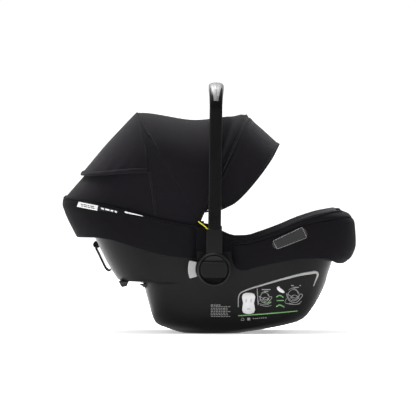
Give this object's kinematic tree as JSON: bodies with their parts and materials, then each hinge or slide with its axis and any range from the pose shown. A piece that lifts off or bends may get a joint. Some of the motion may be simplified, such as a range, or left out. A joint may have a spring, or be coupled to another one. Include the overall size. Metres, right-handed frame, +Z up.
{
  "type": "infant car seat",
  "caption": "Rear-facing infant car seat: moulded rocker shell, swinging carry handle with hub buttons, folding three-hoop canopy, padded seat, harness and base latch.",
  "frame": {"origin": "on the floor, under the middle of the seat's overall box", "axes": "+X to the child's feet, +Y to the child's left, +Z up"},
  "size_m": [0.66, 0.44, 0.567],
  "materials": {
    "shell_plastic": "satin",
    "trim_plastic": "satin",
    "handle_metal": "satin",
    "canopy_fabric": "matte",
    "seat_fabric": "matte",
    "lining_fabric": "matte",
    "foam": "matte",
    "webbing": "matte",
    "leatherette": "satin",
    "steel": "satin",
    "pale_plastic": "satin",
    "red_plastic": "satin",
    "rubber": "matte"
  },
  "bodies": {
    "seat": {"outer_shell": "shell_plastic", "rear_cover": "seat_fabric", "foot_cover": "seat_fabric", "side_tag": "leatherette", "foam_liner": "foam", "seat_pad": "seat_fabric", "newborn_insert": "lining_fabric", "shoulder_strap_right": "webbing", "shoulder_strap_left": "webbing", "shoulder_pad_right": "seat_fabric", "shoulder_pad_left": "seat_fabric", "buckle_tongue_right": "steel", "buckle_tongue_left": "steel", "buckle_body": "trim_plastic", "crotch_strap": "webbing", "adjuster_housing": "trim_plastic", "pull_strap": "webbing", "hub_socket_right": "shell_plastic", "hub_socket_left": "shell_plastic", "hub_axle_right": "steel", "hub_axle_left": "steel", "belt_guide_right": "pale_plastic", "belt_guide_left": "pale_plastic", "canopy_mount_right": "trim_plastic", "canopy_mount_left": "trim_plastic", "canopy_rear": "canopy_fabric", "lever_pin": "steel", "rear_foot_right": "rubber", "rear_foot_left": "rubber"},
    "handle": {"handle_grip": "leatherette", "handle_tube": "handle_metal", "hub_right": "trim_plastic", "hub_left": "trim_plastic", "button_spring_right": "steel", "button_spring_left": "steel"},
    "button_right": {"hub_button_right": "trim_plastic"},
    "button_left": {"hub_button_left": "trim_plastic"},
    "rear_hoop": {"rear_hoop": "trim_plastic"},
    "front_hoop": {"front_hoop": "trim_plastic", "canopy_roof": "canopy_fabric"},
    "visor": {"visor_hoop": "trim_plastic", "canopy_visor": "canopy_fabric"},
    "headrest": {"headrest_board": "trim_plastic", "headrest_pad": "lining_fabric"},
    "buckle_button": {"buckle_button": "red_plastic"},
    "adjuster_button": {"adjuster_button": "trim_plastic"},
    "lever": {"release_lever": "trim_plastic"},
    "latch": {"latch_hook_right": "steel", "latch_hook_left": "steel", "latch_crossbar": "steel"}
  },
  "joints": [
    {"name": "handle_swing", "type": "hinge", "parent": "seat", "child": "handle", "pos_m": [0.0116, 0, 0.148], "axis": [0, 1, 0], "range_deg": [-100, 100]},
    {"name": "right_hub_press", "type": "slide", "parent": "handle", "child": "button_right", "axis": [0, 1, 0], "range_m": [0, 0.005], "stiffness_N_per_m": 600, "springref_m": -0.004, "deforming": ["button_spring_right"]},
    {"name": "left_hub_press", "type": "slide", "parent": "handle", "child": "button_left", "axis": [0, -1, 0], "range_m": [0, 0.005], "stiffness_N_per_m": 600, "springref_m": -0.004, "deforming": ["button_spring_left"]},
    {"name": "rear_hoop_fold", "type": "hinge", "parent": "seat", "child": "rear_hoop", "pos_m": [-0.022, 0, 0.253], "axis": [0, 1, 0], "range_deg": [-28, 5], "deforming": ["canopy_rear"]},
    {"name": "front_hoop_fold", "type": "hinge", "parent": "rear_hoop", "child": "front_hoop", "pos_m": [-0.022, 0, 0.253], "axis": [0, 1, 0], "range_deg": [-44, 6], "deforming": ["canopy_roof"]},
    {"name": "visor_fold", "type": "hinge", "parent": "front_hoop", "child": "visor", "pos_m": [-0.022, 0, 0.253], "axis": [0, 1, 0], "range_deg": [-21, 8], "deforming": ["canopy_visor"]},
    {"name": "headrest_slide", "type": "slide", "parent": "seat", "child": "headrest", "axis": [-0.8415, 0, 0.5402], "range_m": [0, 0.05]},
    {"name": "buckle_press", "type": "slide", "parent": "seat", "child": "buckle_button", "axis": [0, 0, -1], "range_m": [0, 0.003], "stiffness_N_per_m": 800, "springref_m": -0.003},
    {"name": "adjuster_press", "type": "slide", "parent": "seat", "child": "adjuster_button", "axis": [0, 0, -1], "range_m": [0, 0.003], "stiffness_N_per_m": 800, "springref_m": -0.003},
    {"name": "lever_pull", "type": "hinge", "parent": "seat", "child": "lever", "pos_m": [-0.258, 0, 0.2], "axis": [0, 1, 0], "range_deg": [0, 18], "stiffness_Nm_per_rad": 0.4, "springref_deg": -28.65},
    {"name": "latch_draw", "type": "slide", "parent": "seat", "child": "latch", "axis": [1, 0, 0], "range_m": [0, 0.0085]}
  ],
  "couplings": [
    {"joint": "latch_draw", "follows": "lever_pull", "m_per_rad": 0.0255}
  ]
}
